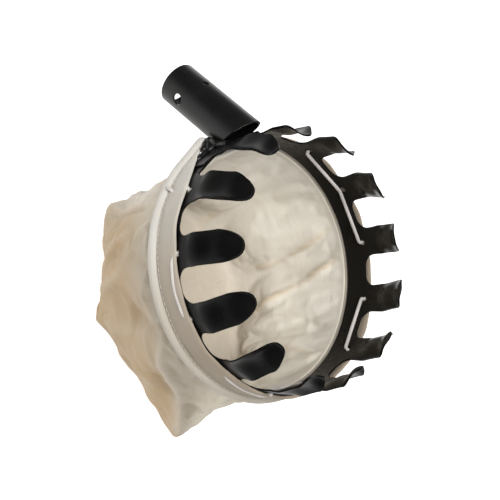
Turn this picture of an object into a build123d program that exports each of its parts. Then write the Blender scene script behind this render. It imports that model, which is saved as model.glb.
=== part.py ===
import os
from math import asin, atan2, cos, degrees, radians, sin, sqrt

from build123d import *

os.makedirs("parts", exist_ok=True)

# all sizes in millimetres and degrees
# the origin is the centre of the socket's open mouth, +Z is the way the fingers point,
# and the socket slopes down from the ring towards -X

# rolled strip: a low band with a row of fingers standing on it
ring_r_out = 84.0
sheet = 1.2
finger_count = 13
band_height = 16.2
gap_width = 21.2
gap_corner_r = 7.8
bend_height = 24.0
trough_height = 38.0
tip_height = 58.5
trough_r = 15.0
trough_half_deg = 46.0
trough_inset = 5.2
tip_inset = 11.7
# how much further in each finger's tip leans, from finger 1 to the last
finger_lean_in = (1.6, 1.5, 2.0, 0.8, -3.0, -3.0, -3.5, -1.0, 2.5, 0.5, -3.0, -5.0, -1.5)
# how far each tip stands aside along the ring, and how much lower it ends
finger_aside = (0.0, -1.0, -2.2, -2.0, 0.0, 0.0, 0.0, 0.0, 0.0, 0.0, 0.0, 3.0, 0.0)
finger_drop = (0.0, 0.0, 0.0, 0.0, 0.0, 0.0, 0.0, 0.0, 0.0, 0.0, 2.0, 3.0, 0.0)

# where the two ends of the strip lap
lap_edge_deg = 207.0
lap_tail_deg = 188.0
lap_jog_deg = 6.5

# lacing holes, one under each finger
lacing_hole_d = 4.5
lacing_height = 16.5

# pole socket
tube_d = 28.6
tube_wall = 1.5
tube_drop_deg = 44.1
tube_axis_length = 63.9
axis_height = 16.05
# the end is coped to the band up to this height, and cut back above it
cope_height = 9.0
cut_back_deg = 19.0
seat_opening = 0.25
seat_length = 40.0
bolt_hole_d = 7.5
bolt_hole_from_end = 15.2
screw_hole_d = 4.5
screw_hole_from_end = 22.8

# weld beads beside the socket
weld_r = 2.2
weld_clear = 0.7

# cloth: hem outside the band, rolled edge under it, bag below
hem_gap = 0.2
hem_thickness = 2.0
hem_bottom = -1.0
hem_top = 18.2
hem_rise = 3.0
roll_d = 6.0
roll_wall = 0.9
roll_outset = 1.5
roll_height = -4.2
rope_d = 4.0
cloth = 1.4
bag_top = -6.9
bag_bottom = -108.0
bag_inset = 0.3
# bag: an angle on the ring and the point of the bottom's outline under it, in ring radii
bag_foot = (
    (-138, -0.81, -0.30),
    (-119, -0.55, -0.50),
    (-100, -0.12, -0.70),
    (-90, 0.10, -0.79),
    (-80, 0.46, -0.65),
    (-62, 1.28, -0.42),
    (-38, 1.31, -0.14),
    (-8, 1.25, 0.20),
    (28, 1.04, 0.53),
    (60, 0.66, 0.73),
    (90, 0.18, 0.78),
    (120, -0.31, 0.67),
    (150, -0.64, 0.43),
    (185, -0.80, 0.06),
)
# share of the way down, share of the way from the ring to the outline, swell of the section
bag_sections = ((0.0, 0.0, 1.0), (0.30, 0.27, 1.02), (0.62, 0.60, 1.02), (0.88, 0.88, 1.0), (1.0, 0.96, 0.92))

# lacing cord
cord_d = 2.5
cord_bend_r = 2.0
cord_play = 0.1
hem_hole_play = 0.35
tail_bottom = 2.0
end_tail_bottom = 8.0

# derived sizes
ring_r_in = ring_r_out - sheet
pitch_deg = 360.0 / finger_count
tube_x = cos(radians(tube_drop_deg))
tube_z = sin(radians(tube_drop_deg))
ring_x = tube_axis_length * tube_x + ring_r_out
ring_z = tube_axis_length * tube_z - axis_height
cut_reach = 2 * ring_r_out
hem_half_cut_deg = degrees(asin((tube_d / 2 + weld_r + weld_clear) / ring_r_out))
lap_turn = radians(lap_edge_deg - 180)
hem_end_length = (ring_r_in * sin(lap_turn) - tube_d / 2 - weld_r) / cos(lap_turn)
to_ring = Pos(ring_x, 0, ring_z)
ring_axis = Axis((ring_x, 0, ring_z), (0, 0, 1))


def polar(radius, angle_deg):
    return (radius * cos(radians(angle_deg)), radius * sin(radians(angle_deg)))


def ring_point(radius, angle_deg, height):
    x, y = polar(radius, angle_deg)
    return (ring_x + x, y, ring_z + height)


def tangent_point(radius, length):
    # straight on from the lap towards the socket
    x, y = polar(radius, lap_edge_deg)
    return (x - sin(lap_turn) * length, y + cos(lap_turn) * length)


def ring_plane(height):
    return Plane((ring_x, 0, ring_z + height))


def finger_deg(index):
    # finger 1 is the first one past the lap, and the socket sits between the last two
    return 180.0 + (index - (finger_count - 0.5)) * pitch_deg


# fingers: the flat root turns smoothly into a trough that is convex towards the ring's middle
half_out = pitch_deg / 2 - degrees(asin(gap_width / 2 / ring_r_out))
half_in = pitch_deg / 2 - degrees(asin(gap_width / 2 / ring_r_in))
trough_start_r = ring_r_out - trough_inset
tip_ridge_r = ring_r_out - tip_inset
trough_out_r = trough_r - sheet
# the finger's outline: clear of the root, drawing in to trim the trough's edges, with a round tip
root_half = ring_r_out * sin(radians(half_out)) + sheet / 2
tip_half = trough_out_r * sin(radians(trough_half_deg)) - sheet / 6
bend_rise = trough_height - bend_height
# height above the bend in shares of the rise, and how far the section has turned into the trough
bend_steps = ((0.0, 0.0), (0.18, 0.10), (0.5, 0.5), (0.82, 0.9), (1.0, 1.0))


def section_point(root_r, root_deg, trough_radius, trough_deg, centre_r, share, shift):
    x, y = polar(root_r, root_deg)
    u, v = polar(trough_radius, trough_deg)
    return (x + (centre_r - u - x) * share, y + (v - y) * share + shift)


def aside_at(aside, height):
    return aside * (height - bend_height) / (tip_height - bend_height)


fingers = []
for i in range(finger_count):
    tip_r = tip_ridge_r - finger_lean_in[i % len(finger_lean_in)]
    aside = finger_aside[i % len(finger_aside)]
    top = tip_height - finger_drop[i % len(finger_drop)]
    lean = (trough_start_r - tip_r) / (tip_height - trough_height)
    steps = [(bend_height + bend_rise * rise, share) for rise, share in bend_steps]
    steps.append(((trough_height + tip_height) / 2, 1.0))
    steps.append((tip_height + sheet, 1.0))
    with BuildPart() as finger:
        for height, share in steps:
            centre_r = trough_start_r - lean * (height - trough_height) + trough_r
            shift = aside_at(aside, height)
            outer = [
                section_point(ring_r_out, s * half_out, trough_out_r, s * trough_half_deg, centre_r, share, shift)
                for s in (-1, 0, 1)
            ]
            inner = [
                section_point(ring_r_in, s * half_in, trough_r, s * trough_half_deg, centre_r, share, shift)
                for s in (1, 0, -1)
            ]
            with BuildSketch(Plane((0, 0, height))):
                with BuildLine():
                    ThreePointArc(*outer)
                    Line(outer[2], inner[0])
                    ThreePointArc(*inner)
                    Line(inner[2], outer[0])
                make_face()
        loft()
        with BuildSketch(Plane.YZ) as finger_outline:
            round_start = top - tip_half
            low_shift = aside_at(aside, trough_height)
            start_shift = aside_at(aside, round_start)
            with BuildLine():
                Polyline(
                    (start_shift - tip_half, round_start),
                    (low_shift - tip_half, trough_height),
                    (-root_half, bend_height),
                    (-root_half, 0),
                    (root_half, 0),
                    (root_half, bend_height),
                    (low_shift + tip_half, trough_height),
                    (start_shift + tip_half, round_start),
                )
                ThreePointArc(
                    (start_shift + tip_half, round_start),
                    (aside_at(aside, top), top),
                    (start_shift - tip_half, round_start),
                )
            make_face()
        extrude(finger_outline.sketch, amount=cut_reach, mode=Mode.INTERSECT)
    fingers.append(finger.part)

# one gap between two fingers, with rounded lower corners
with BuildPart() as gap:
    gap_height = bend_height + 2 * gap_corner_r - band_height
    with BuildSketch(Plane((0, 0, band_height + gap_height / 2), x_dir=(0, 1, 0), z_dir=(1, 0, 0))):
        RectangleRounded(gap_width, gap_height, gap_corner_r)
    extrude(amount=cut_reach)

# one radial lacing hole
with BuildPart() as lacing_hole:
    with BuildSketch(Plane((0, 0, lacing_height), x_dir=(0, 1, 0), z_dir=(1, 0, 0))):
        Circle(lacing_hole_d / 2)
    extrude(amount=cut_reach)

# picking ring: band, fingers, the lap of the strip and the lacing holes
with BuildPart() as picking_ring:
    with BuildSketch(ring_plane(0)):
        Circle(ring_r_out)
        Circle(ring_r_in, mode=Mode.SUBTRACT)
    extrude(amount=bend_height)
    for i in range(finger_count):
        gap_deg = finger_deg(i + 0.5)
        add(to_ring * Rot(0, 0, gap_deg) * gap.part, mode=Mode.SUBTRACT)
    # the outer end of the strip stops at the lap edge, and the strip below it jogs inwards
    jog_deg = lap_edge_deg + lap_jog_deg
    with BuildSketch(ring_plane(0)):
        with BuildLine():
            Polyline(
                polar(ring_r_in, lap_edge_deg),
                polar(ring_r_out + 2 * sheet, lap_edge_deg),
                polar(ring_r_out + 2 * sheet, jog_deg),
                polar(ring_r_out, jog_deg),
                close=True,
            )
        make_face()
    extrude(amount=band_height + sheet / 2, mode=Mode.SUBTRACT)
    with BuildSketch(ring_plane(0)):
        with BuildLine():
            Polyline(
                polar(ring_r_in - sheet, lap_edge_deg),
                polar(ring_r_in, jog_deg),
                polar(ring_r_out - sheet / 4, jog_deg),
                polar(ring_r_in, lap_edge_deg),
                close=True,
            )
        make_face()
    extrude(amount=band_height)
    lap_middle = (lap_edge_deg + lap_tail_deg) / 2
    with BuildSketch(ring_plane(0)):
        with BuildLine():
            ThreePointArc(
                polar(ring_r_in, lap_tail_deg), polar(ring_r_in, lap_middle), polar(ring_r_in, lap_edge_deg)
            )
            Line(polar(ring_r_in, lap_edge_deg), polar(ring_r_in - sheet, lap_edge_deg))
            ThreePointArc(
                polar(ring_r_in - sheet, lap_edge_deg),
                polar(ring_r_in - sheet, lap_middle),
                polar(ring_r_in - sheet, lap_tail_deg),
            )
            Line(polar(ring_r_in - sheet, lap_tail_deg), polar(ring_r_in, lap_tail_deg))
        make_face()
    extrude(amount=band_height)
    for i in range(finger_count):
        add(to_ring * Rot(0, 0, finger_deg(i + 1)) * fingers[i])
    for i in range(finger_count):
        add(to_ring * Rot(0, 0, finger_deg(i + 1)) * lacing_hole.part, mode=Mode.SUBTRACT)
picking_ring.part.label = "picking_ring"

# pole socket: a tube coped to the band's outer face
mouth = Plane((0, 0, 0), x_dir=(0, 1, 0), z_dir=(tube_x, 0, tube_z))
tube_r = tube_d / 2
with BuildPart() as socket_tube:
    with BuildSketch(mouth):
        Circle(tube_r)
        Circle(tube_r - tube_wall, mode=Mode.SUBTRACT)
    extrude(amount=tube_axis_length + tube_d)
    with BuildSketch(mouth):
        Circle(tube_r - tube_wall + seat_opening)
    extrude(amount=seat_length, mode=Mode.SUBTRACT)
    with BuildSketch(ring_plane(-ring_r_out)):
        Circle(ring_r_out)
    extrude(amount=cut_reach, mode=Mode.SUBTRACT)
    cut_x = cos(radians(cut_back_deg))
    cut_z = sin(radians(cut_back_deg))
    with BuildSketch(Plane(ring_point(ring_r_out, 180, cope_height), x_dir=(0, 1, 0), z_dir=(cut_x, 0, cut_z))):
        Rectangle(cut_reach, cut_reach)
    extrude(amount=cut_reach, mode=Mode.SUBTRACT)
    bolt_x = bolt_hole_from_end * tube_x
    bolt_z = bolt_hole_from_end * tube_z
    with BuildSketch(Plane((bolt_x, -tube_d, bolt_z), x_dir=(tube_x, 0, tube_z), z_dir=(0, 1, 0))):
        Circle(bolt_hole_d / 2)
    extrude(amount=2 * tube_d, mode=Mode.SUBTRACT)
    screw_x = screw_hole_from_end * tube_x
    screw_z = screw_hole_from_end * tube_z
    with BuildSketch(Plane((screw_x, 0, screw_z), x_dir=(0, 1, 0), z_dir=(-tube_z, 0, tube_x))):
        Circle(screw_hole_d / 2)
    extrude(amount=tube_d, mode=Mode.SUBTRACT)
socket_tube.part.label = "socket_tube"


# weld beads, one on each side of the socket where its end meets the band
def weld_point(height, side):
    across = tube_r
    for step in range(30):
        x = ring_x - sqrt(ring_r_out**2 - across**2)
        off = tube_z * x - tube_x * (ring_z + height)
        across = sqrt(tube_r**2 - off * off)
    return (x, side * across, ring_z + height)


weld_heights = [weld_clear / 2 + (band_height - weld_clear) * k / 4 for k in range(5)]
weld_beads = []
for side in (-1, 1):
    with BuildPart() as bead:
        with BuildLine() as bead_line:
            Spline(*[weld_point(height, side) for height in weld_heights])
        with BuildSketch(Plane(bead_line.line @ 0, z_dir=bead_line.line % 0)):
            Circle(weld_r)
        sweep(path=bead_line.line)
        with BuildSketch(ring_plane(-ring_r_out)):
            Circle(ring_r_out)
        extrude(amount=cut_reach, mode=Mode.SUBTRACT)
        with BuildSketch(mouth):
            Circle(tube_r)
        extrude(amount=cut_reach, mode=Mode.SUBTRACT)
    weld_beads.append(bead)
weld_beads[0].part.label = "weld_bead_near"
weld_beads[1].part.label = "weld_bead_far"

# hem: cloth band outside the ring, open at the socket, its top edge rising away from the socket,
# and its near end running straight on from the lap
hem_r_in = ring_r_out + hem_gap
hem_r_out = hem_r_in + hem_thickness
hem_tilt = degrees(atan2(hem_rise, ring_r_out))
with BuildPart() as bag_hem:
    with BuildSketch(ring_plane(hem_bottom)):
        Circle(hem_r_out)
        Circle(hem_r_in, mode=Mode.SUBTRACT)
        with BuildLine():
            Polyline(
                (0, 0),
                polar(2 * ring_r_out, 180 - hem_half_cut_deg),
                polar(2 * ring_r_out, lap_edge_deg),
                close=True,
            )
        make_face(mode=Mode.SUBTRACT)
        with BuildLine():
            Polyline(
                tangent_point(hem_r_in, 0),
                tangent_point(hem_r_out, 0),
                tangent_point(hem_r_out, hem_end_length),
                tangent_point(hem_r_in, hem_end_length),
                close=True,
            )
        make_face()
    extrude(amount=hem_top + 2 * hem_rise - hem_bottom)
    tilt_x = cos(radians(hem_tilt))
    tilt_z = sin(radians(hem_tilt))
    with BuildSketch(Plane((ring_x, 0, ring_z + hem_top), x_dir=(tilt_x, 0, tilt_z), z_dir=(-tilt_z, 0, tilt_x))):
        Rectangle(2 * cut_reach, 2 * cut_reach)
    extrude(amount=cut_reach, mode=Mode.SUBTRACT)
    for i in range(finger_count):
        with BuildSketch(
            Plane(
                ring_point(0, 0, lacing_height),
                x_dir=(0, 0, 1),
                z_dir=(cos(radians(finger_deg(i + 1))), sin(radians(finger_deg(i + 1))), 0),
            )
        ):
            Circle(cord_d / 2 + hem_hole_play)
        extrude(amount=cut_reach, mode=Mode.SUBTRACT)
bag_hem.part.label = "bag_hem"

# rolled edge under the hem, with the rope that fills it
roll_r = ring_r_out + roll_outset
roll_sweep_deg = 360 - 2 * hem_half_cut_deg
roll_way = polar(1, 180 + hem_half_cut_deg)
roll_plane = Plane(ring_point(roll_r, 180 + hem_half_cut_deg, roll_height), z_dir=(-roll_way[1], roll_way[0], 0))
with BuildPart() as hem_roll:
    with BuildSketch(roll_plane):
        Circle(roll_d / 2)
        Circle(roll_d / 2 - roll_wall, mode=Mode.SUBTRACT)
    revolve(axis=ring_axis, revolution_arc=roll_sweep_deg)
hem_roll.part.label = "hem_roll"

with BuildPart() as hem_rope:
    with BuildSketch(roll_plane):
        Circle(rope_d / 2)
    revolve(axis=ring_axis, revolution_arc=roll_sweep_deg)
hem_rope.part.label = "hem_rope"

# bag: a sack sewn flat at the bottom, so its round top runs out into two corners
bag_top_r = ring_r_out - bag_inset
bag_middle = (sum(x for angle, x, y in bag_foot) / len(bag_foot), sum(y for angle, x, y in bag_foot) / len(bag_foot))


def bag_outline(share, swell, inset):
    middle_x = bag_middle[0] * ring_r_out * share
    middle_y = bag_middle[1] * ring_r_out * share
    points = []
    for angle, foot_x, foot_y in bag_foot:
        x, y = polar(bag_top_r * (1 - share), angle)
        x += foot_x * ring_r_out * share - middle_x
        y += foot_y * ring_r_out * share - middle_y
        size = swell - inset / sqrt(x * x + y * y)
        points.append((middle_x + x * size, middle_y + y * size))
    return points


with BuildPart() as bag_body:
    for down, share, swell in bag_sections:
        with BuildSketch(ring_plane(bag_top + (bag_bottom - bag_top) * down)):
            with BuildLine():
                Spline(*bag_outline(share, swell, 0), periodic=True)
            make_face()
    loft()
    for down, share, swell in bag_sections:
        rise = 0.0
        if down == 0:
            rise = cloth
        if down == 1:
            rise = cloth
        with BuildSketch(ring_plane(bag_top + (bag_bottom - bag_top) * down + rise)):
            with BuildLine():
                Spline(*bag_outline(share, swell, cloth), periodic=True)
            make_face()
    loft(mode=Mode.SUBTRACT)
bag_body.part.label = "bag_body"

# lacing cord: in and out through the holes, straight inside the band, round the hem outside
cord_r = cord_d / 2
inside_r = ring_r_in - cord_r - cord_play
lap_inside_r = inside_r - sheet
outside_r = hem_r_out + cord_r + cord_play
# runs to the next finger: True lies inside the band, False outside the hem
runs_inside = [True, False, True, False, True, False, True, False, True, True, False, True]


def inside_corner(index):
    # the lap makes the strip double under the last finger
    radius = inside_r
    if index == finger_count:
        radius = lap_inside_r
    return Vector(ring_point(radius, finger_deg(index), lacing_height))


with BuildPart() as lacing_cord:
    with BuildLine() as cord_line:
        outer_corner = Vector(ring_point(outside_r, finger_deg(1), lacing_height))
        corners = [Vector(ring_point(outside_r, finger_deg(1), tail_bottom)), outer_corner, inside_corner(1)]
        for index in range(1, finger_count):
            if runs_inside[index - 1]:
                corners.append(inside_corner(index + 1))
                if index + 1 < finger_count and not runs_inside[index]:
                    corners.append(Vector(ring_point(outside_r, finger_deg(index + 1), lacing_height)))
            else:
                for k in range(4):
                    lay_deg = finger_deg(index) + pitch_deg * (k + 0.5) / 4
                    lay_r = outside_r / cos(radians(pitch_deg / 8))
                    corners.append(Vector(ring_point(lay_r, lay_deg, lacing_height)))
                corners.append(Vector(ring_point(outside_r, finger_deg(index + 1), lacing_height)))
                corners.append(inside_corner(index + 1))
        corners.append(Vector(ring_point(lap_inside_r, finger_deg(finger_count), end_tail_bottom)))
        FilletPolyline(*corners, radius=cord_bend_r)
    with BuildSketch(Plane(cord_line.line @ 0, z_dir=cord_line.line % 0)):
        Circle(cord_r)
    sweep(path=cord_line.line)
lacing_cord.part.label = "lacing_cord"

export_step(picking_ring.part, "parts/picking_ring.step")
export_step(socket_tube.part, "parts/socket_tube.step")
export_step(weld_beads[0].part, "parts/weld_bead_near.step")
export_step(weld_beads[1].part, "parts/weld_bead_far.step")
export_step(bag_body.part, "parts/bag_body.step")
export_step(bag_hem.part, "parts/bag_hem.step")
export_step(hem_roll.part, "parts/hem_roll.step")
export_step(hem_rope.part, "parts/hem_rope.step")
export_step(lacing_cord.part, "parts/lacing_cord.step")
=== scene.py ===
from math import cos, pi, radians, sin, sqrt

import bpy
from mathutils import Matrix, Vector, noise


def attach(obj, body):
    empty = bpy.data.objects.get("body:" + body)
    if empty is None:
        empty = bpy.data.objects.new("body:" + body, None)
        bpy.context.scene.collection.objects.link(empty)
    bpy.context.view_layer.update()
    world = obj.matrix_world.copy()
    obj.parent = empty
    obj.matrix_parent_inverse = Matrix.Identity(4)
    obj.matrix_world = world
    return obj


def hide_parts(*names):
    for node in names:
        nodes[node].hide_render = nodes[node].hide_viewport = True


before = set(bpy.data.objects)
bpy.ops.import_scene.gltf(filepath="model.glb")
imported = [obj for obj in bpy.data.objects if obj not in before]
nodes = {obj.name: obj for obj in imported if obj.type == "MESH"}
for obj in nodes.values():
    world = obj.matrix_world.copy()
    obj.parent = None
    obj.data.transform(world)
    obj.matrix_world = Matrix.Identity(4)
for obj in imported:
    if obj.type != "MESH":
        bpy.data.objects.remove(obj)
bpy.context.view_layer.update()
body = "root"

# the ring's centre at the band's lower edge; the ring's own sizes are in millimetres from there
ring_x = 129.8883
ring_z = 28.4188
ring_r_in = 82.8
hem_r_in = 84.2
hem_r_out = 86.2
roll_r = 86.2
roll_z = -3.4
finger_count = 13
pitch = 360.0 / finger_count


def at(x, y, z):
    return Vector(((x + ring_x) / 1000, y / 1000, (z + ring_z) / 1000))


def around(radius, angle, z):
    return at(radius * cos(radians(angle)), radius * sin(radians(angle)), z)


def finger_angle(index):
    return 180.0 + (index - 12.5) * pitch


def smooth(t):
    t = min(1.0, max(0.0, t))
    return t * t * (3 - 2 * t)


def wobble(x, y, z, size, seed):
    return noise.noise(Vector((x / size + seed * 7.31, y / size - seed * 3.17, z / size + seed)))


# camera at the photograph's viewing angle
camera_data = bpy.data.cameras.new("camera")
camera_data.sensor_width = 36.0
camera_data.lens = 72.0
camera_data.clip_start = 0.01
camera_data.clip_end = 20.0
camera = bpy.data.objects.new("camera", camera_data)
bpy.context.scene.collection.objects.link(camera)
right = Vector((0.282196, 0.685919, 0.670731))
down = Vector((0.953194, -0.279586, -0.11512))
forward = Vector((0.108564, 0.671824, -0.732712))
place = Matrix.Identity(4)
for row in range(3):
    place[row][0] = right[row]
    place[row][1] = -down[row]
    place[row][2] = -forward[row]
place.translation = at(-83.1265, -443.5408, 476.3179)
camera.matrix_world = place
bpy.context.scene.camera = camera


# material building
def start_material(name):
    material = bpy.data.materials.new(name)
    material.use_nodes = True
    tree = material.node_tree
    tree.nodes.clear()
    output = tree.nodes.new("ShaderNodeOutputMaterial")
    shader = tree.nodes.new("ShaderNodeBsdfPrincipled")
    tree.links.new(shader.outputs["BSDF"], output.inputs["Surface"])
    return material, tree, shader


def coordinates(tree, kind, scale):
    source = tree.nodes.new("ShaderNodeTexCoord")
    mapping = tree.nodes.new("ShaderNodeMapping")
    mapping.inputs["Scale"].default_value = scale
    tree.links.new(source.outputs[kind], mapping.inputs["Vector"])
    return mapping.outputs["Vector"]


def noise_node(tree, vector, scale, detail=3.0, roughness=0.5):
    node = tree.nodes.new("ShaderNodeTexNoise")
    node.inputs["Scale"].default_value = scale
    node.inputs["Detail"].default_value = detail
    node.inputs["Roughness"].default_value = roughness
    tree.links.new(vector, node.inputs["Vector"])
    return node.outputs["Fac"]


def wave_node(tree, vector, direction, scale):
    node = tree.nodes.new("ShaderNodeTexWave")
    node.bands_direction = direction
    node.inputs["Scale"].default_value = scale
    node.inputs["Distortion"].default_value = 1.2
    node.inputs["Detail Scale"].default_value = 2.0
    tree.links.new(vector, node.inputs["Vector"])
    return node.outputs["Fac"]


def ramp(tree, value, low, high, first, last):
    node = tree.nodes.new("ShaderNodeValToRGB")
    node.color_ramp.elements[0].position = low
    node.color_ramp.elements[0].color = (*first, 1)
    node.color_ramp.elements[1].position = high
    node.color_ramp.elements[1].color = (*last, 1)
    tree.links.new(value, node.inputs["Fac"])
    return node.outputs["Color"]


def math_node(tree, kind, first, second):
    node = tree.nodes.new("ShaderNodeMath")
    node.operation = kind
    for socket, value in zip(node.inputs, (first, second)):
        if isinstance(value, float):
            socket.default_value = value
        else:
            tree.links.new(value, socket)
    return node.outputs["Value"]


def map_range(tree, value, low, high, to_low, to_high):
    node = tree.nodes.new("ShaderNodeMapRange")
    node.inputs["From Min"].default_value = low
    node.inputs["From Max"].default_value = high
    node.inputs["To Min"].default_value = to_low
    node.inputs["To Max"].default_value = to_high
    tree.links.new(value, node.inputs["Value"])
    return node.outputs["Result"]


def bump(tree, shader, height, strength, distance, before=None):
    node = tree.nodes.new("ShaderNodeBump")
    node.inputs["Strength"].default_value = strength
    node.inputs["Distance"].default_value = distance
    tree.links.new(height, node.inputs["Height"])
    if before is not None:
        tree.links.new(before, node.inputs["Normal"])
    tree.links.new(node.outputs["Normal"], shader.inputs["Normal"])
    return node.outputs["Normal"]


def mix(tree, factor, first, second, kind="MIX"):
    node = tree.nodes.new("ShaderNodeMix")
    node.data_type = "RGBA"
    node.blend_type = kind
    if isinstance(factor, float):
        node.inputs[0].default_value = factor
    else:
        tree.links.new(factor, node.inputs[0])
    for socket, value in ((node.inputs[6], first), (node.inputs[7], second)):
        if isinstance(value, tuple):
            socket.default_value = (*value, 1)
        else:
            tree.links.new(value, socket)
    return node.outputs[2]


def black_paint(name, rough_low, rough_high, peel, gloss, rub_and_sheen=None):
    material, tree, shader = start_material(name)
    local = coordinates(tree, "Object", (1, 1, 1))
    patches = noise_node(tree, local, 45.0, 4.0, 0.6)
    fine = noise_node(tree, local, 900.0, 2.0)
    colour = ramp(tree, patches, 0.35, 0.7, (0.0028, 0.0028, 0.0031), (0.0055, 0.005, 0.0047))
    specks = ramp(tree, noise_node(tree, local, 420.0, 5.0, 0.75), 0.66, 0.72, (0, 0, 0), (1, 1, 1))
    colour = mix(tree, specks, colour, (0.013, 0.012, 0.0115))
    # the sheet's cut edges are rounded by the paint and scuffed a little paler, and this paler edge is
    # also a painted highlight along them
    rounded = tree.nodes.new("ShaderNodeBevel")
    rounded.samples = 4
    rounded.inputs["Radius"].default_value = 0.0006
    surface = tree.nodes.new("ShaderNodeNewGeometry")
    edge = tree.nodes.new("ShaderNodeVectorMath")
    edge.operation = "DOT_PRODUCT"
    tree.links.new(surface.outputs["Normal"], edge.inputs[0])
    tree.links.new(rounded.outputs["Normal"], edge.inputs[1])
    wear_and_painted_light = map_range(tree, edge.outputs["Value"], 0.99, 0.8, 0.0, 1.0)
    wear_and_painted_light = math_node(tree, "MULTIPLY", wear_and_painted_light, map_range(tree, patches, 0.35, 0.65, 0.2, 1.0))
    colour = mix(tree, wear_and_painted_light, colour, (0.022, 0.021, 0.020))
    if rub_and_sheen is not None:
        # fruit rubs the faces that look to the ring's middle; their paler colour is also painted sheen,
        # standing in for the light these faces reflect
        middle = tree.nodes.new("ShaderNodeVectorMath")
        middle.operation = "SUBTRACT"
        middle.inputs[1].default_value = (ring_x / 1000, 0, 0)
        tree.links.new(local, middle.inputs[0])
        level = tree.nodes.new("ShaderNodeVectorMath")
        level.operation = "MULTIPLY"
        level.inputs[1].default_value = (1, 1, 0)
        tree.links.new(middle.outputs["Vector"], level.inputs[0])
        outward_way = tree.nodes.new("ShaderNodeVectorMath")
        outward_way.operation = "NORMALIZE"
        tree.links.new(level.outputs["Vector"], outward_way.inputs[0])
        facing = tree.nodes.new("ShaderNodeVectorMath")
        facing.operation = "DOT_PRODUCT"
        tree.links.new(surface.outputs["Normal"], facing.inputs[0])
        tree.links.new(outward_way.outputs["Vector"], facing.inputs[1])
        # the fingers get more of this paler scuffing and painted sheen than the band
        heights = tree.nodes.new("ShaderNodeSeparateXYZ")
        tree.links.new(local, heights.inputs["Vector"])
        band_top = ring_z / 1000 + 0.016
        upper = map_range(tree, heights.outputs["Z"], band_top, band_top + 0.012, 0.0, 1.0)
        more = tuple(1.7 * value for value in rub_and_sheen)
        rub_and_sheen_colour = mix(tree, upper, rub_and_sheen, more)
        inner_side = map_range(tree, facing.outputs["Value"], -0.2, -0.7, 0.0, 1.0)
        colour = mix(tree, inner_side, colour, rub_and_sheen_colour)
    tree.links.new(colour, shader.inputs["Base Color"])
    tree.links.new(map_range(tree, patches, 0.3, 0.7, rough_low, rough_high), shader.inputs["Roughness"])
    shader.inputs["Specular IOR Level"].default_value = gloss
    coarse = noise_node(tree, local, 160.0, 2.0)
    first = bump(tree, shader, coarse, 0.25, peel, rounded.outputs["Normal"])
    bump(tree, shader, fine, 0.2, peel * 0.3, first)
    return material


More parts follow.
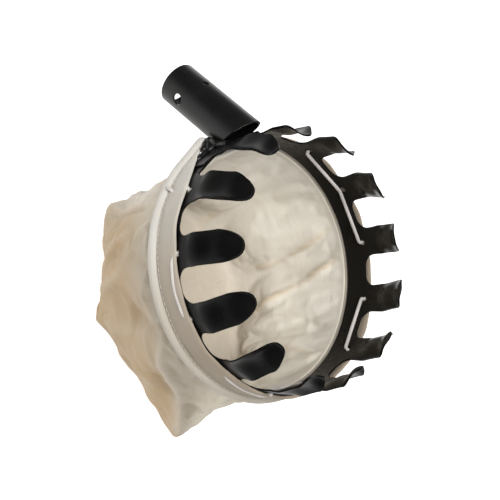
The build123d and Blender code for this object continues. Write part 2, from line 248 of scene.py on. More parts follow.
def cotton(
    name, light, dark, stain, weave_pitch, weave_depth, shade_tones=(), foot=None, bottom_shade=None, fold_shading=None
):
    material, tree, shader = start_material(name)
    local = coordinates(tree, "Object", (1, 1, 1))
    cloth_map = coordinates(tree, "UV", (1, 1, 1))
    clouds = noise_node(tree, local, 22.0, 4.0, 0.55)
    colour = ramp(tree, clouds, 0.3, 0.72, light, dark)
    spots = ramp(tree, noise_node(tree, local, 9.0, 3.0, 0.5), 0.52, 0.75, (0, 0, 0), (1, 1, 1))
    colour = mix(tree, spots, colour, stain)
    parts = tree.nodes.new("ShaderNodeSeparateXYZ")
    tree.links.new(cloth_map, parts.inputs["Vector"])
    for low, high, shade_tone in shade_tones:
        # painted shade: the cloth's colour is darkened along part of its length, on the side that lies
        # in shade
        share = map_range(tree, parts.outputs["X"], low, high, 0.0, 1.0)
        share = math_node(tree, "MULTIPLY", share, map_range(tree, clouds, 0.3, 0.6, 0.85, 1.0))
        colour = mix(tree, share, colour, shade_tone)
    if foot is not None:
        # tanner towards the bottom, on the near side up to the ridge
        lower = map_range(tree, parts.outputs["Y"], 0.018, 0.06, 0.0, 1.0)
        begin = map_range(tree, parts.outputs["X"], 0.05, 0.08, 0.0, 1.0)
        slant = math_node(tree, "MULTIPLY", parts.outputs["Y"], 0.285)
        ridge = math_node(tree, "SUBTRACT", parts.outputs["X"], slant)
        end = map_range(tree, ridge, 0.139, 0.148, 1.0, 0.0)
        share = math_node(tree, "MULTIPLY", lower, math_node(tree, "MULTIPLY", begin, end))
        share = math_node(tree, "MULTIPLY", share, map_range(tree, clouds, 0.35, 0.6, 0.7, 1.0))
        colour = mix(tree, share, colour, foot)
    if bottom_shade is not None:
        # painted shade: the inside is darkened towards the bottom, standing in for the lesser light that
        # reaches it
        share = map_range(tree, parts.outputs["Y"], 0.062, 0.118, 0.0, 1.0)
        colour = mix(tree, share, colour, bottom_shade)
    if fold_shading is not None:
        # painted shade: pressed lines are darker; painted highlight: ridges are paler
        wear_and_painted_light = tree.nodes.new("ShaderNodeAttribute")
        wear_and_painted_light.attribute_name = "fold_shading"
        pressed = map_range(tree, wear_and_painted_light.outputs["Fac"], 0.0, 1.0, 0.0, 1.0)
        colour = mix(tree, pressed, colour, fold_shading)
        raised = map_range(tree, wear_and_painted_light.outputs["Fac"], 0.0, -1.0, 0.0, 0.3)
        colour = mix(tree, raised, colour, light)
    threads = 1.0 / weave_pitch
    warp = wave_node(tree, cloth_map, "X", threads * 0.314)
    weft = wave_node(tree, cloth_map, "Y", threads * 0.314)
    weave = math_node(tree, "MAXIMUM", warp, weft)
    slub_map = coordinates(tree, "UV", (60, 1400, 1))
    slubs = noise_node(tree, slub_map, 1.0, 2.0)
    shade = ramp(tree, weave, 0.2, 0.9, (0.92, 0.91, 0.89), (1, 1, 1))
    colour = mix(tree, 1.0, colour, shade, "MULTIPLY")
    thread_tint = ramp(tree, slubs, 0.35, 0.7, (0.93, 0.92, 0.90), (1, 1, 1))
    colour = mix(tree, 1.0, colour, thread_tint, "MULTIPLY")
    tree.links.new(colour, shader.inputs["Base Color"])
    shader.inputs["Roughness"].default_value = 0.9
    shader.inputs["Specular IOR Level"].default_value = 0.15
    shader.inputs["Sheen Weight"].default_value = 0.15
    shader.inputs["Sheen Roughness"].default_value = 0.5
    height = math_node(tree, "ADD", weave, math_node(tree, "MULTIPLY", slubs, 0.5))
    first = bump(tree, shader, height, 0.5, weave_depth)
    crumple = noise_node(tree, local, 150.0, 3.0, 0.55)
    bump(tree, shader, crumple, 0.3, 0.001, first)
    return material


# the ring's inner faces are painted paler: fruit scuffing and painted sheen
paint_ring = black_paint("satin_black_ring", 0.24, 0.36, 0.0002, 0.085, rub_and_sheen=(0.013, 0.012, 0.0105))
paint_tube = black_paint("satin_black_tube", 0.24, 0.36, 0.0002, 0.28)
paint_weld = black_paint("black_weld", 0.22, 0.4, 0.0008, 0.35)
cotton_bag = cotton(
    "unbleached_cotton",
    (0.70, 0.65, 0.58),
    (0.66, 0.60, 0.52),
    (0.66, 0.59, 0.49),
    weave_pitch=0.0008,
    weave_depth=0.0002,
    # painted shade: the bag's near side is darkened, most of all beside the rolled edge, then paler
    # again
    shade_tones=[
        (0.055, 0.08, (0.54, 0.485, 0.395)),
        (0.08, 0.1, (0.45, 0.395, 0.32)),
        (0.178, 0.205, (0.70, 0.64, 0.535)),
    ],
    foot=(0.455, 0.335, 0.205),
    # painted shade colour along the pressed lines
    fold_shading=(0.46, 0.36, 0.25),
)
# painted light: the bag's inner face is a paler copy of its cotton, lit brighter than the outer face
cotton_inside_lit_copy = cotton(
    "cotton_inside_lit_copy",
    (0.88, 0.85, 0.79),
    (0.86, 0.82, 0.74),
    (0.85, 0.79, 0.69),
    weave_pitch=0.0008,
    weave_depth=0.0001,
    # painted shade towards the inside bottom
    bottom_shade=(0.46, 0.415, 0.35),
    # painted shade colour along the pressed lines
    fold_shading=(0.66, 0.54, 0.37),
)
cotton_hem = cotton(
    "cotton_hem",
    (0.69, 0.68, 0.64),
    (0.66, 0.645, 0.60),
    (0.65, 0.63, 0.58),
    weave_pitch=0.0007,
    weave_depth=0.0002,
    # painted shade: the hem is darkened step by step round its near side
    shade_tones=[
        (0.29, 0.315, (0.57, 0.55, 0.505)),
        (0.32, 0.37, (0.43, 0.38, 0.32)),
        (0.37, 0.43, (0.33, 0.275, 0.21)),
    ],
)
cotton_roll = cotton(
    "cotton_roll",
    (0.60, 0.595, 0.57),
    (0.57, 0.56, 0.53),
    (0.57, 0.55, 0.51),
    weave_pitch=0.0006,
    weave_depth=0.0002,
    # painted shade: the roll is darkened on its near side
    shade_tones=[(0.075, 0.13, (0.47, 0.43, 0.375))],
)


def cord_material(name, light, dark):
    material, tree, shader = start_material(name)
    local = coordinates(tree, "Object", (1, 1, 1))
    clouds = noise_node(tree, local, 180.0, 3.0, 0.6)
    colour = ramp(tree, clouds, 0.3, 0.7, light, dark)
    tree.links.new(colour, shader.inputs["Base Color"])
    shader.inputs["Roughness"].default_value = 0.8
    shader.inputs["Sheen Weight"].default_value = 0.2
    fibres = noise_node(tree, local, 1600.0, 2.0)
    bump(tree, shader, fibres, 0.4, 0.0002)
    return material


white_cord = cord_material("white_cord", (0.58, 0.55, 0.53), (0.51, 0.48, 0.46))
sewing_thread = cord_material("sewing_thread", (0.56, 0.52, 0.46), (0.50, 0.46, 0.40))

for name, material in (
    ("picking_ring", paint_ring),
    ("socket_tube", paint_tube),
    ("weld_bead_near", paint_weld),
    ("weld_bead_far", paint_weld),
):
    nodes[name].data.materials.clear()
    nodes[name].data.materials.append(material)

# mesh building
seam_length = 2 * pi * 0.082


def mesh_object(name, points, faces, material, uvs=None):
    mesh = bpy.data.meshes.new(name)
    mesh.from_pydata([tuple(p) for p in points], [], faces)
    mesh.update()
    if uvs is not None:
        layer = mesh.uv_layers.new(name="cloth")
        for polygon in mesh.polygons:
            values = [uvs[v] for v in polygon.vertices]
            widest = max(u for u, w in values)
            for loop, (u, w) in zip(polygon.loop_indices, values):
                if widest - u > 0.2:
                    u += seam_length
                layer.data[loop].uv = (u, w)
    for polygon in mesh.polygons:
        polygon.use_smooth = True
    mesh.materials.append(material)
    thing = bpy.data.objects.new(name, mesh)
    bpy.context.scene.collection.objects.link(thing)
    return thing


def frames_along(points):
    # each point of a line with two directions square to it, carried along without a twist
    found = []
    before = None
    for k, point in enumerate(points):
        ahead = (points[min(k + 1, len(points) - 1)] - points[max(k - 1, 0)]).normalized()
        if before is None:
            across = ahead.orthogonal().normalized()
        else:
            across = (before - ahead * before.dot(ahead)).normalized()
        before = across
        found.append((point, across, ahead.cross(across)))
    return found


def tube_along(points, radii, sides):
    # a round tube whose rings stand square to the line
    verts = []
    faces = []
    for k, (point, across, other) in enumerate(frames_along(points)):
        for s in range(sides):
            a = 2 * pi * s / sides
            verts.append(point + (across * cos(a) + other * sin(a)) * radii[k])
    for k in range(len(points) - 1):
        for s in range(sides):
            n = (s + 1) % sides
            faces.append((k * sides + s, k * sides + n, (k + 1) * sides + n, (k + 1) * sides + s))
    faces.append(tuple(reversed(range(sides))))
    faces.append(tuple(range((len(points) - 1) * sides, len(points) * sides)))
    return verts, faces


def join_skin(verts, faces, more, skin):
    # adds one skin's points and faces to those of another
    start = len(verts)
    verts += more
    faces += [tuple(v + start for v in face) for face in skin]


def spline_points(route_points, name):
    # points read from a smooth spline through a route
    curve = bpy.data.curves.new(name, "CURVE")
    curve.dimensions = "3D"
    curve.resolution_u = 8
    spline = curve.splines.new("NURBS")
    spline.points.add(len(route_points) - 1)
    for target, point in zip(spline.points, route_points):
        target.co = (*point, 1.0)
    spline.order_u = 3
    spline.use_endpoint_u = True
    holder = bpy.data.objects.new(name, curve)
    bpy.context.scene.collection.objects.link(holder)
    bpy.context.view_layer.update()
    mesh = bpy.data.meshes.new_from_object(holder.evaluated_get(bpy.context.evaluated_depsgraph_get()))
    found = [v.co.copy() for v in mesh.vertices]
    bpy.data.objects.remove(holder)
    bpy.data.curves.remove(curve)
    bpy.data.meshes.remove(mesh)
    return found


def evenly(points, step):
    found = [points[0].copy()]
    carried = 0.0
    for a, b in zip(points, points[1:]):
        length = (b - a).length
        while length > 0 and carried + step <= length:
            carried += step
            found.append(a.lerp(b, carried / length))
        carried -= length
    found.append(points[-1].copy())
    return found


# bag: a sack sewn flat at the bottom, so its round top runs out into two corners
# an angle on the roll and the point of the bottom's outline under it, in millimetres
bag_foot = [
    (-138, -65, -26),
    (-128, -57, -32),
    (-119, -45, -38),
    (-109, -28, -45),
    (-100, -10, -54),
    (-90, 8, -66),
    (-85, 24, -60),
    (-80, 38, -54),
    (-71, 71, -43),
    (-62, 105, -36),
    (-55, 110.5, -27),
    (-38, 109, -9),
    (-8, 101, 18),
    (28, 83, 44),
    (60, 54, 60),
    (90, 15, 65),
    (120, -25, 55),
    (150, -51, 35),
    (185, -61, 8),
    (208, -63, -10),
]
bag_top = -2.0
bag_floor = -106.0
bag_top_r = 82.0
columns = 224
wall_rows = 54
floor_rows = 18
bag_middle = (22.0, 0.0)
# the cloth's own length down the wall and on to the bottom's middle, in metres
wall_cloth = 0.115
floor_cloth = 0.07


def foot_point(angle):
    # along the outline between its named points
    while angle < bag_foot[0][0]:
        angle += 360
    while angle >= bag_foot[0][0] + 360:
        angle -= 360
    count = len(bag_foot)
    for k in range(count):
        a = bag_foot[k]
        b = bag_foot[(k + 1) % count]
        end = b[0] + (360 if k + 1 == count else 0)
        if a[0] <= angle <= end:
            share = (angle - a[0]) / (end - a[0])
            before = bag_foot[k - 1]
            after = bag_foot[(k + 2) % count]
            found = []
            for axis in (1, 2):
                pull_a = (b[axis] - before[axis]) / 2
                pull_b = (after[axis] - a[axis]) / 2
                straight = a[axis] + (b[axis] - a[axis]) * share
                curved = (
                    a[axis] * (2 * share**3 - 3 * share**2 + 1)
                    + pull_a * (share**3 - 2 * share**2 + share)
                    + b[axis] * (3 * share**2 - 2 * share**3)
                    + pull_b * (share**3 - share**2)
                )
                found.append(0.5 * straight + 0.5 * curved)
            return found
    return [bag_foot[0][1], bag_foot[0][2]]


def bag_hollow(angle, v):
    # under the socket the cloth draws in below the roll
    turn = (angle + 170 + 180) % 360 - 180
    window = smooth(1 - abs(turn) / 48)
    return 15.0 * window * smooth(v / 0.13) * smooth((1 - v) / 0.5)


def bag_spot(angle, v):
    top_r = bag_top_r + 1.9 * smooth((v - 0.045) / 0.07) - bag_hollow(angle, v)
    foot = foot_point(angle)
    share = max(0.0, (v - 0.06) / 0.94)
    x = top_r * cos(radians(angle)) * (1 - share) + foot[0] * share
    y = top_r * sin(radians(angle)) * (1 - share) + foot[1] * share
    # away from the two corners the wall runs round into the bottom
    turned = 0.2 * max(0.0, (v - 0.72) / 0.28) ** 2 * smooth(1.5 - abs(angle - 95) / 75)
    x += (bag_middle[0] - x) * turned
    y += (bag_middle[1] - y) * turned
    return x, y, bag_top + (bag_floor - bag_top) * v


bag_points = []
bag_uvs = []
for row in range(wall_rows + 1):
    v = row / wall_rows
    for col in range(columns):
        angle = 360.0 * col / columns - 180
        x, y, z = bag_spot(angle, v)
        loose = 2.4 * sin(pi * v) ** 0.7 * wobble(x, y, z, 34.0, 2)
        x += loose * cos(radians(angle))
        y += loose * sin(radians(angle))
        bag_points.append(at(x, y, z))
        bag_uvs.append((seam_length * col / columns, wall_cloth * v))
floor_start = wall_rows * columns
for row in range(1, floor_rows + 1):
    spread = 0.03 + 0.97 * (1 - row / floor_rows)
    for col in range(columns):
        edge = bag_points[floor_start + col]
        middle = at(bag_middle[0], bag_middle[1], bag_floor)
        point = middle + (edge - middle) * spread
        point.z += 0.003 * (0.4 + wobble(point.x * 1000, point.y * 1000, 0, 24, 5)) * (1 - spread)
        bag_points.append(point)
        bag_uvs.append((seam_length * col / columns, wall_cloth + floor_cloth * row / floor_rows))
bag_faces = []
for row in range(wall_rows + floor_rows):
    for col in range(columns):
        following = (col + 1) % columns
        bag_faces.append(
            (
                row * columns + col,
                (row + 1) * columns + col,
                (row + 1) * columns + following,
                row * columns + following,
            )
        )
last_row = (wall_rows + floor_rows) * columns
bag_faces.append(tuple(reversed(range(last_row, last_row + columns))))
bag = mesh_object("cotton_bag", bag_points, bag_faces, cotton_bag, bag_uvs)
# the inner face takes the paler, painted-light copy of the cotton
bag.data.materials.append(cotton_inside_lit_copy)

# folds that the photograph shows: from, to (angle on the roll, share of the way down), height, width
folds = [
    ((-76, 0.20), (-63, 0.59), 5.0, 3.0),
    ((-63, 0.59), (-59, 1.00), 5.0, 3.0),
    ((-122, 0.37), (-108, 0.79), 3.8, 3.2),
    ((-115, 0.42), (-104, 0.82), -3.0, 3.6),
    ((-106, 0.43), (-99, 0.81), 3.8, 3.2),
    ((-65, 0.70), (-33, 0.33), 2.5, 3.4),
    ((-132, 0.90), (-134, 0.30), -2.6, 4.0),
    ((-123, 0.94), (-125, 0.49), -1.8, 4.0),
    ((-90, 0.96), (-81, 0.25), 1.8, 5.0),
    ((-84, 0.98), (-77, 0.50), -2.6, 4.2),
    ((-74, 0.96), (-72, 0.55), 1.8, 4.0),
    ((93, 0.05), (87, 0.50), -3.0, 2.8),
    ((87, 0.50), (88, 0.80), -3.0, 2.8),
    ((77, 0.04), (70, 0.36), -3.4, 3.0),
    ((70, 0.36), (62, 0.86), -3.4, 3.0),
    ((33, 0.50), (24, 0.06), -1.8, 3.0),
    ((40, 0.10), (52, 0.42), 1.8, 4.0),
    ((52, 0.42), (56, 0.74), 1.8, 4.0),
    ((151, 0.64), (153, 0.26), -1.6, 4.0),
    ((130, 0.96), (129, 0.66), -2.0, 4.0),
    ((-160, 0.15), (-150, 0.75), 2.2, 5.0),
    ((172, 0.20), (160, 0.85), 2.2, 5.0),
    ((10, 0.20), (-12, 0.85), 2.2, 5.0),
    ((112, 0.12), (104, 0.66), 1.8, 5.0),
]


# millimetres of cloth in a degree round the roll, and down the wall
fold_degree = 1.35
fold_depth = 105


def press_folds(thing):
    # raises or sinks the cloth along each fold, and marks the pressed line for the material, which
    # paints it darker as shade and the raised ridge paler as highlight
    thing.data.update()
    normals = [v.normal.copy() for v in thing.data.vertices]
    lines = [0.0] * len(thing.data.vertices)
    for row in range(wall_rows + 1):
        v = row / wall_rows
        for col in range(columns):
            angle = 360.0 * col / columns - 180
            index = row * columns + col
            x, y, z = thing.data.vertices[index].co * 1000
            # crumpled cloth: a web of small ridges and valleys, most on the side that has cloth to spare
            near_side = 0.15 + 0.85 * (0.5 - 0.5 * sin(radians(angle)))
            ridge = max(0.0, 1 - abs(wobble(x, y, z, 30.0, 6)) / 0.22) ** 2
            valley = max(0.0, 1 - abs(wobble(x, y, z, 38.0, 9)) / 0.2) ** 2
            rise = 1.7 * near_side * (ridge - valley)
            # the valleys are marked to be painted darker, as shade
            line = 0.25 * near_side * valley
            for (a0, v0), (a1, v1), height, width in folds:
                turn = (angle - a0 + 180) % 360 - 180
                across = turn * fold_degree
                below = (v - v0) * fold_depth
                way_across = ((a1 - a0 + 180) % 360 - 180) * fold_degree
                way_down = (v1 - v0) * fold_depth
                length = way_across**2 + way_down**2
                share = min(1.0, max(0.0, (across * way_across + below * way_down) / length))
                off = sqrt((across - share * way_across) ** 2 + (below - share * way_down) ** 2)
                fade = sin(pi * min(0.98, max(0.02, 0.1 + 0.8 * share)))
                near = 1 / (1 + (off / width) ** 2) ** 2
                rise += height * fade * near
                # sunk folds are marked for painted shade, raised folds for painted highlight
                line -= 0.25 * height * fade * near**2
            thing.data.vertices[index].co += normals[index] * rise / 1000 * smooth(v / 0.12)
            lines[index] = min(0.9, max(-0.9, line))
    marks = thing.data.attributes.new("fold_shading", "FLOAT", "POINT")
    marks.data.foreach_set("value", lines)
    thing.data.update()


def simulate_bag(thing):
    # loose cloth, held at the roll and lightly along the bottom's edge, buckles into soft folds
    held = thing.vertex_groups.new(name="held")
    spare = thing.vertex_groups.new(name="spare")
    for row in range(wall_rows + floor_rows + 1):
        weight = 0.0
        if row <= 2:
            weight = 1.0
        if abs(row - wall_rows) <= 1:
            weight = 0.35
        if row > wall_rows + 2:
            weight = 0.15
        start = row * columns
        if weight > 0:
            held.add(list(range(start, start + columns)), weight, "REPLACE")
    for col in range(columns):
        angle = 360.0 * col / columns - 180
        column = list(range(col, len(thing.data.vertices), columns))
        spare.add(column, 0.5 - 0.5 * sin(radians(angle)), "REPLACE")
    cloth = thing.modifiers.new("cloth", "CLOTH")
    settings = cloth.settings
    settings.quality = 6
    settings.mass = 0.05
    settings.tension_stiffness = 12
    settings.compression_stiffness = 12
    settings.shear_stiffness = 4
    settings.bending_stiffness = 0.02
    settings.tension_damping = 3
    settings.compression_damping = 3
    settings.vertex_group_mass = "held"
    settings.pin_stiffness = 1.0
    settings.vertex_group_shrink = "spare"
    settings.shrink_min = -0.02
    settings.shrink_max = -0.07
    settings.effector_weights.gravity = 0.3
    cloth.collision_settings.use_collision = False
    cloth.point_cache.frame_start = 1
    cloth.point_cache.frame_end = 24
    before = [v.co.copy() for v in thing.data.vertices]
    scene = bpy.context.scene
    for step in range(1, 25):
        scene.frame_set(step)
    done = thing.evaluated_get(bpy.context.evaluated_depsgraph_get())
    after = [v.co.copy() for v in done.data.vertices]
    thing.modifiers.remove(cloth)
    scene.frame_set(1)
    cap = 0.011
    lowest = (bag_floor - 1.5 + ring_z) / 1000
    for vertex, old, new in zip(thing.data.vertices, before, after):
        move = new - old
        if move.length > cap:
            move = move * (cap / move.length)
        vertex.co = old + move
        vertex.co.z = max(vertex.co.z, lowest)
    thing.data.update()


simulate_bag(bag)
press_folds(bag)
thick = bag.modifiers.new("thickness", "SOLIDIFY")
thick.thickness = 0.0009
thick.offset = 0.0
thick.material_offset = 1
rounding = bag.modifiers.new("rounding", "SUBSURF")
rounding.levels = 1
rounding.render_levels = 1
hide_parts("bag_body")
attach(bag, body)

# hem: doubled cloth band outside the steel, open at the socket; beside the lap its top edge slopes down
near_cut = 8.5
far_cut = 11.8
hem_span = 360 - near_cut - far_cut
lap_turn = -153.0
hem_mid_r = 86.0
runs_inside = [True, False, True, False, True, False, True, False, True, True, False, True]
hem_cols = 340
hem_bottom = -2.2
# where its top edge starts to slope down, near and far, and over how many degrees
near_slope_start = -139.0
near_slope_span = 32.0
far_slope_start = 146.0
far_slope_span = 26.0
# where it hangs lower, and how far to each side
slack_turn = -20
slack_half = 26
# how far its top edge stands off the band between two holes
top_stand_off = 1.1


def hem_stand_off(turn):
    # between two holes with the cord inside the band, the hem is free to stand off it
    index = (turn - finger_angle(1)) / pitch
    k = int(index // 1)
    share = index - k
    if 0 <= k < len(runs_inside) and runs_inside[k]:
        return sin(pi * share) ** 2
    return 0.0


def hem_top(turn):
    top = 18.2 + 3.0 * cos(radians(turn))
    top += 0.7 * wobble(turn + 360, 0, 0, 9.0, 3) + 0.5 * hem_stand_off(turn)
    near_sloped = max(0.0, (near_slope_start - turn) / near_slope_span)
    far_sloped = max(0.0, (turn - far_slope_start) / far_slope_span)
    slack = smooth(1 - abs(turn - slack_turn) / slack_half)
    top -= 20.0 * near_sloped**1.3 + 16.0 * far_sloped**1.3 + 5.5 * slack
    return max(hem_bottom + 1.2, top)


def hem_outward(turn):
    # from the lap the cloth runs straight on to the socket, off the band
    return hem_mid_r / cos(radians(max(0.0, lap_turn - turn))) - hem_mid_r


hem_points = []
hem_uvs = []
hem_rows = 0
for col in range(hem_cols + 1):
    angle = 180 + near_cut + hem_span * col / hem_cols
    turn = angle - 360
    top = hem_top(turn)
    lift = top_stand_off * hem_stand_off(turn) + 0.25 * wobble(angle, 4, 0, 6.0, 8)
    away = hem_outward(turn)
    height = top - hem_bottom
    rows = []
    for k in range(12):
        share = k / 11
        z = hem_bottom + max(0.2, height - 0.9) * share
        puff = 0.35 * sin(pi * share) + 0.2 * wobble(angle * 1.4, z, 0, 7.0, 4)
        rows.append((hem_r_out + 0.05 + puff + lift * share * share, z))
    rows.append((hem_r_out - 0.25 + lift, top - 0.35))
    rows.append((hem_r_out - 0.8 + lift, top))
    rows.append((hem_r_out - 1.4 + lift * 0.95, top - 0.3))
    for k in range(8):
        share = 1 - k / 7
        z = top - 0.5 - max(0.2, height - 0.8) * k / 7
        rows.append((hem_r_in + 0.25 + lift * share * share, z))
    hem_rows = len(rows)
    for k, (r, z) in enumerate(rows):
        hem_points.append(around(r + away, angle, z))
        hem_uvs.append((radians(angle) * 0.084, 0.002 * k))
hem_faces = []
for col in range(hem_cols):
    for k in range(hem_rows):
        n = (k + 1) % hem_rows
        a = col * hem_rows
        b = (col + 1) * hem_rows
        hem_faces.append((a + k, a + n, b + n, b + k))
hem_faces.append(tuple(range(hem_rows)))
hem_faces.append(tuple(reversed(range(hem_cols * hem_rows, (hem_cols + 1) * hem_rows))))
hem = mesh_object("hem_band", hem_points, hem_faces, cotton_hem, hem_uvs)
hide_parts("bag_hem")
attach(hem, body)

# rolled edge: an even roll of cloth with small unevenness, rounded off at the socket
roll_points = []
roll_radii = []
roll_uvs = []
roll_cols = 320
roll_sides = 20
for col in range(roll_cols + 1):
    share = col / roll_cols
    angle = 180 + near_cut + 0.2 + (hem_span - 0.6) * share
    r = roll_r + 0.1 + 0.3 * wobble(angle, 0, 0, 14.0, 11) + hem_outward(angle - 360)
    z = roll_z + 0.4 * wobble(angle, 0, 0, 17.0, 12)
    size = 3.4 + 0.14 * wobble(angle, 0, 0, 5.0, 13)
    end = min(share, 1 - share) * roll_cols
    size *= sqrt(max(0.05, 1 - (1 - min(1.0, end / 3)) ** 2))
    roll_points.append(around(r, angle, z))
    roll_radii.append(size / 1000)
    for s in range(roll_sides):
        roll_uvs.append((0.5 * share, 0.019 * s / roll_sides))
verts, faces = tube_along(roll_points, roll_radii, roll_sides)
roll = mesh_object("rolled_edge", verts, faces, cotton_roll, roll_uvs)
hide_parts("hem_roll", "hem_rope")
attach(roll, body)


# sewing: a row of stitches above the rolled edge
def stitch_row(name, first, last, height, spacing, length):
    verts = []
    faces = []
    count = int((last - first) / spacing)
    for k in range(count):
        middle = first + (k + 0.5) * spacing
        line = []
        radii = []
        for step in range(5):
            turn = middle + length * (step / 4 - 0.5)
            sunk = 0.45 * abs(step - 2) ** 2 / 4
            r = hem_r_out + 0.75 - sunk + hem_outward(turn)
            line.append(around(r + 0.3 * top_stand_off * hem_stand_off(turn), turn, height))
            radii.append(0.00024)
        tube, skin = tube_along(line, radii, 6)
        join_skin(verts, faces, tube, skin)
    row = mesh_object(name, verts, faces, sewing_thread)
    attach(row, body)
    return row


lower_stitches = stitch_row("lower_stitches", -166.0, 165.0, height=1.6, spacing=2.3, length=1.7)

# lacing cord: tail outside, then in and out through the holes; two points beside each corner
cord_r = 1.25
inside_r = ring_r_in - cord_r - 0.1
outside_r = hem_r_out + cord_r + 0.3
lacing_z = 16.5


def inward(index):
    a = finger_angle(index)
    return [
        (outside_r - 1.9, a - 3.2, lacing_z - 2.4),
        (outside_r - 2.7, a - 1.2, lacing_z - 1.4),
        (outside_r - 3.0, a, lacing_z),
        (inside_r + 1.5, a, lacing_z - 0.5),
        (inside_r, a, lacing_z - 1.1),
        (inside_r - 0.2, a + 1.5, lacing_z - 1.7),
    ]


def outward(index):
    a = finger_angle(index)
    return [
        (inside_r - 0.2, a - 1.5, lacing_z - 1.7),
        (inside_r, a, lacing_z - 1.1),
        (inside_r + 1.5, a, lacing_z - 0.5),
        (outside_r - 3.0, a, lacing_z),
        (outside_r - 2.7, a + 1.2, lacing_z - 1.4),
        (outside_r - 1.9, a + 3.2, lacing_z - 2.4),
    ]


def outside_lay(index, sag):
    # the cord lies on the hem between two holes
    found = []
    for share, low in ((0.2, 0.8), (0.4, 1.0), (0.6, 1.0), (0.8, 0.8)):
        found.append((outside_r - 1.7, finger_angle(index + share), lacing_z - sag * low))
    return found


def inside_slack(index):
    # the cord hangs slack against the band, below its top edge
    found = []
    for share, low in ((0.14, 3.6), (0.28, 6.0), (0.5, 6.6), (0.72, 6.0), (0.86, 3.6)):
        found.append((inside_r, finger_angle(index + share), lacing_z - low))
    return found


# the tail comes out from under the hem beside the roll and goes in at the first hole
route = [
    (outside_r + 0.9, finger_angle(1) - 1.0, 0.2),
    (outside_r + 0.3, finger_angle(1) - 0.2, 2.4),
    (outside_r - 2.9, finger_angle(1) + 0.6, 4.6),
    (outside_r - 3.0, finger_angle(1) + 0.6, 11.0),
    (outside_r - 2.8, finger_angle(1), 15.0),
]
route += inward(1)[1:]
route += inside_slack(1)
route += outward(2)
route += outside_lay(2, 3.2)
route += inward(3)
route += inside_slack(3)
route += outward(4)
route += outside_lay(4, 3.2)
route += inward(5)
route += outward(6)
route += outside_lay(6, 0.6)
route += inward(7)
route += outward(8)
route += outside_lay(8, 0.6)
route += inward(9)
route += [
    (inside_r - 0.2, finger_angle(10) - 1.5, lacing_z - 1.7),
    (inside_r, finger_angle(10), lacing_z - 1.6),
    (inside_r - 0.2, finger_angle(10) + 1.5, lacing_z - 1.7),
]
route += outward(11)
route += outside_lay(11, 8.0)
route += inward(12)
route += [
    (inside_r - 1.4, finger_angle(13) - 1.5, lacing_z),
    (inside_r - 1.2, finger_angle(13), lacing_z - 0.5),
    (inside_r - 1.2, finger_angle(13), lacing_z - 2.5),
    (inside_r - 1.2, finger_angle(13), 8.0),
]


def twisted(points, strands, lay, offset, strand_radius, sides):
    # strands wound round a line, a turn every lay
    verts = []
    faces = []
    frames = frames_along(points)
    step = (points[1] - points[0]).length
    for strand in range(strands):
        line = []
        for k, (point, across, other) in enumerate(frames):
            a = 2 * pi * (k * step / lay + strand / strands)
            line.append(point + (across * cos(a) + other * sin(a)) * offset)
        tube, skin = tube_along(line, [strand_radius] * len(line), sides)
        join_skin(verts, faces, tube, skin)
    return verts, faces


cord_line = evenly(spline_points([around(*spot) for spot in route], "lacing_route"), 0.0006)
verts, faces = twisted(cord_line, 3, 0.0052, 0.00062, 0.00066, 8)
cord = mesh_object("lacing_strands", verts, faces, white_cord)
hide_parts("lacing_cord")
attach(cord, body)

# weld: a lumpy seam on the band beside the lap and up to its top, and the metal that fills the
# corner between band and socket on the near side
seam_route = [
    (84.2, -157.0, 3.6),
    (84.5, -160.0, 4.4),
    (84.6, -163.5, 4.6),
    (84.8, -166.5, 4.8),
    (84.9, -168.6, 6.5),
    (84.8, -169.2, 10.0),
    (84.6, -169.2, 13.5),
    (84.2, -168.8, 16.0),
]
corner_route = [
    (84.4, -165.5, 4.4),
    (86.2, -168.0, 3.2),
    (88.2, -169.8, 1.6),
    (90.0, -171.0, 0.0),
]
under_route = [
    (85.6, -163.5, 2.4),
    (87.0, -166.5, 1.6),
    (88.2, -169.0, 0.4),
    (89.2, -171.5, -0.6),
]
fillet_route = [
    (84.6, -168.4, 9.5),
    (86.2, -169.0, 7.8),
    (87.6, -169.6, 5.6),
    (88.8, -170.4, 3.2),
]


def weld_run(route_points, radius, seed, lumpy):
    line = evenly(spline_points([around(*spot) for spot in route_points], "weld_route"), 0.0005)
    radii = []
    for k in range(len(line)):
        share = k / (len(line) - 1)
        ripple = lumpy * (0.22 * abs(sin(k * 0.28)) + 0.35 * wobble(k, 0, 0, 5.0, seed))
        ends = sqrt(max(0.03, 1 - (2 * share - 1) ** 6))
        radii.append((radius + ripple) * ends / 1000)
    tube, skin = tube_along(line, radii, 18)
    lumps = []
    for point in tube:
        x, y, z = point * 1000
        lumps.append(point + Vector((1, 0.4, 0.3)) * 0.0006 * lumpy * wobble(x, y, z, 2.2, seed + 2))
    return lumps, skin


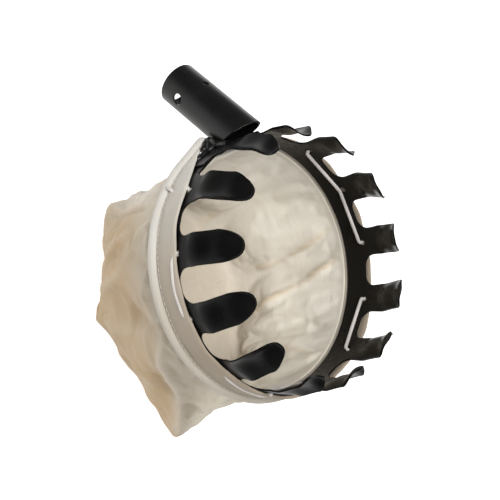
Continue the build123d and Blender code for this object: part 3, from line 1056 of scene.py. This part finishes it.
verts, faces = weld_run(seam_route, 1.75, 21, 0.9)
fills = ((corner_route, 2.6, 31), (under_route, 2.4, 41), (fillet_route, 2.0, 51))
for points, radius, seed in fills:
    more, skin = weld_run(points, radius, seed, 0.45)
    join_skin(verts, faces, more, skin)
weld = mesh_object("weld_seam", verts, faces, paint_weld)
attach(weld, body)

# pale floor
floor_z = (bag_floor - 2.2 + ring_z) / 1000
floor_mesh = bpy.data.meshes.new("floor")
floor_mesh.from_pydata(
    [(-6, -6, floor_z), (6, -6, floor_z), (6, 6, floor_z), (-6, 6, floor_z)], [], [(0, 1, 2, 3)]
)
floor = bpy.data.objects.new("floor", floor_mesh)
bpy.context.scene.collection.objects.link(floor)
floor_material, floor_tree, floor_shader = start_material("pale_floor")
floor_shader.inputs["Base Color"].default_value = (0.6, 0.6, 0.6, 1)
floor_shader.inputs["Roughness"].default_value = 0.9
floor_shader.inputs["Specular IOR Level"].default_value = 0.0
floor_shader.inputs["Emission Color"].default_value = (1, 1, 1, 1)
# the paper glows near the object and is darker further out
floor_map = coordinates(floor_tree, "Object", (1, 1, 1))
reach = floor_tree.nodes.new("ShaderNodeVectorMath")
reach.operation = "DISTANCE"
reach.inputs[1].default_value = (0.12, 0.2, floor_z)
floor_tree.links.new(floor_map, reach.inputs[0])
glow = map_range(floor_tree, reach.outputs["Value"], 0.4, 0.9, 0.8, 0.0)
floor_tree.links.new(glow, floor_shader.inputs["Emission Strength"])
floor_mesh.materials.append(floor_material)


# soft studio light
def area_light(name, position, target, size, power, tint):
    data = bpy.data.lights.new(name, "AREA")
    data.shape = "DISK"
    data.size = size
    data.energy = power
    data.color = tint
    lamp = bpy.data.objects.new(name, data)
    bpy.context.scene.collection.objects.link(lamp)
    lamp.location = position
    aim = Vector(target) - Vector(position)
    lamp.rotation_euler = aim.to_track_quat("-Z", "Y").to_euler()
    return lamp


centre = (0.119, 0.0, 0.03)
area_light("key", (-0.05, -0.45, 1.7), centre, 1.5, 48.0, (1.0, 0.99, 0.97))
world = bpy.data.worlds.new("studio")
world.use_nodes = True
world.node_tree.nodes["Background"].inputs["Color"].default_value = (1, 1, 1, 1)
world.node_tree.nodes["Background"].inputs["Strength"].default_value = 0.18
bpy.context.scene.world = world
bpy.context.scene.view_settings.view_transform = "Standard"
